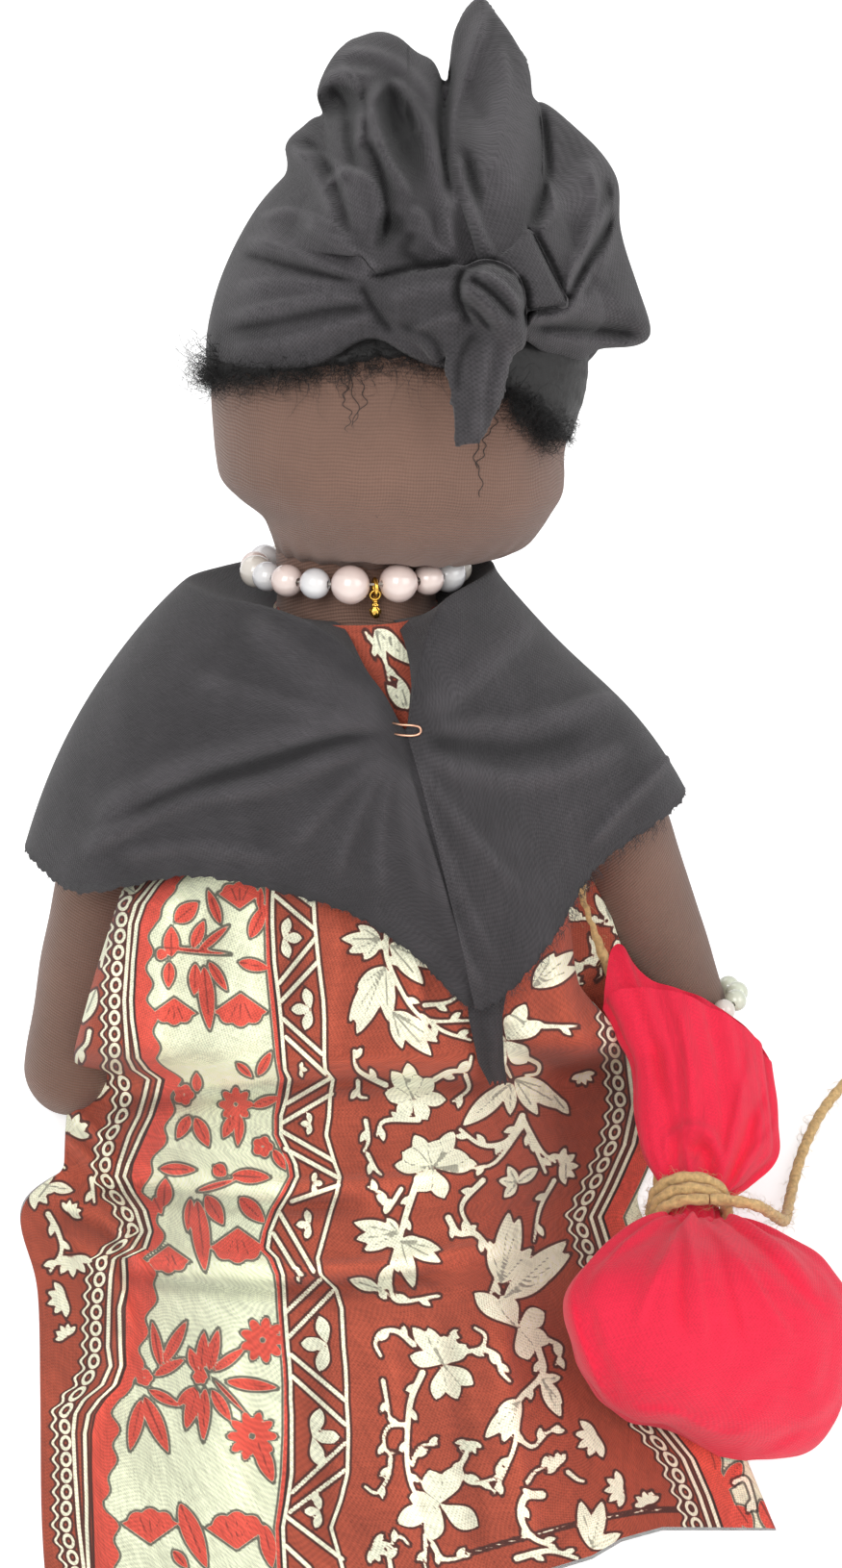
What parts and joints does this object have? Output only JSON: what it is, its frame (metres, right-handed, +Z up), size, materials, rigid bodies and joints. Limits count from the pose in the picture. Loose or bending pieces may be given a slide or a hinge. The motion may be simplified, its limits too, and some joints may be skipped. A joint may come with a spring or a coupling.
{
  "type": "cloth doll",
  "caption": "Seated cloth doll with a blank face, head wrap, pinned shawl, printed dress, pearl necklace and bracelet, and a pouch tied with twine over one hand.",
  "frame": {"origin": "on the floor under the pelvis, on the flat underside of the seat", "axes": "+Z up, the doll faces -Y, +X is to the doll's left"},
  "size_m": [0.2231, 0.2175, 0.2563],
  "materials": {
    "knit": "fine brown knit, matt",
    "hair": "curly black fibre",
    "black_cotton": "plain woven cotton, matt",
    "printed_cotton": "printed woven cotton",
    "red_cotton": "plain woven cotton, matt",
    "copper_wire": "bright wire",
    "thread": "twisted thread",
    "gold": "polished",
    "pearl": "pearl lustre",
    "dry_beans": "loose dry beans, hidden",
    "jute": "twisted jute"
  },
  "bodies": {
    "root": {"torso": "knit", "dress": "printed_cotton", "shawl": "black_cotton", "safety_pin": "copper_wire", "leg_right": "knit", "leg_left": "knit"},
    "head": {"head": "knit", "hair_cap": "hair", "hair_tuft": "hair", "head_wrap": "black_cotton"},
    "arm_right": {"arm_right": "knit"},
    "arm_left": {"arm_left": "knit"},
    "necklace": {"pearl_right_01": "pearl", "pearl_right_02": "pearl", "pearl_right_03": "pearl", "pearl_right_04": "pearl", "pearl_right_05": "pearl", "pearl_right_06": "pearl", "pearl_right_07": "pearl", "pearl_right_08": "pearl", "pearl_right_09": "pearl", "pearl_right_10": "pearl", "pearl_left_01": "pearl", "pearl_left_02": "pearl", "pearl_left_03": "pearl", "pearl_left_04": "pearl", "pearl_left_05": "pearl", "pearl_left_06": "pearl", "pearl_left_07": "pearl", "pearl_left_08": "pearl", "pearl_left_09": "pearl", "necklace_string": "thread"},
    "pendant": {"pendant_ring": "gold", "pendant_drop": "gold"},
    "bracelet": {"bracelet_bead_01": "pearl", "bracelet_bead_02": "pearl", "bracelet_bead_03": "pearl", "bracelet_bead_04": "pearl", "bracelet_bead_05": "pearl", "bracelet_bead_06": "pearl", "bracelet_bead_07": "pearl", "bracelet_bead_08": "pearl", "bracelet_bead_09": "pearl", "bracelet_bead_10": "pearl", "bracelet_bead_11": "pearl", "bracelet_bead_12": "pearl", "bracelet_bead_13": "pearl", "bracelet_bead_14": "pearl", "bracelet_elastic": "thread"},
    "pouch": {"pouch_cloth": "red_cotton", "pouch_filling": "dry_beans", "pouch_twine": "jute", "twine_end_right": "jute", "twine_end_left": "jute"}
  },
  "joints": [
    {"name": "head_turn", "type": "hinge", "parent": "root", "child": "head", "pos_m": [0, 0.05575, 0.15317], "axis": [0, 0.342, 0.9397], "range_deg": [-15, 15]},
    {"name": "arm_right_swing", "type": "hinge", "parent": "root", "child": "arm_right", "pos_m": [-0.04417, 0.0422, 0.11593], "axis": [0, 0.9397, -0.342], "range_deg": [0, 7]},
    {"name": "arm_left_swing", "type": "hinge", "parent": "root", "child": "arm_left", "pos_m": [0.04417, 0.0422, 0.11593], "axis": [0, -0.9397, 0.342], "range_deg": [0, 7]},
    {"name": "necklace_turn", "type": "hinge", "parent": "root", "child": "necklace", "pos_m": [0, 0.05175, 0.14217], "axis": [0, 0.342, 0.9397], "range_deg": [-10, 10]},
    {"name": "pendant_swing", "type": "hinge", "parent": "necklace", "child": "pendant", "pos_m": [0.00481, 0.03052, 0.1499], "axis": [-0.978, -0.1959, 0.0713], "range_deg": [0, 30]},
    {"name": "bracelet_turn", "type": "hinge", "parent": "arm_left", "child": "bracelet", "pos_m": [0.08167, 0.02749, 0.02889], "axis": [0.3007, -0.3995, -0.866], "continuous": true},
    {"name": "pouch_lift", "type": "slide", "parent": "root", "child": "pouch", "axis": [0, -0.9397, 0.342], "range_m": [0, 0.06]}
  ]
}
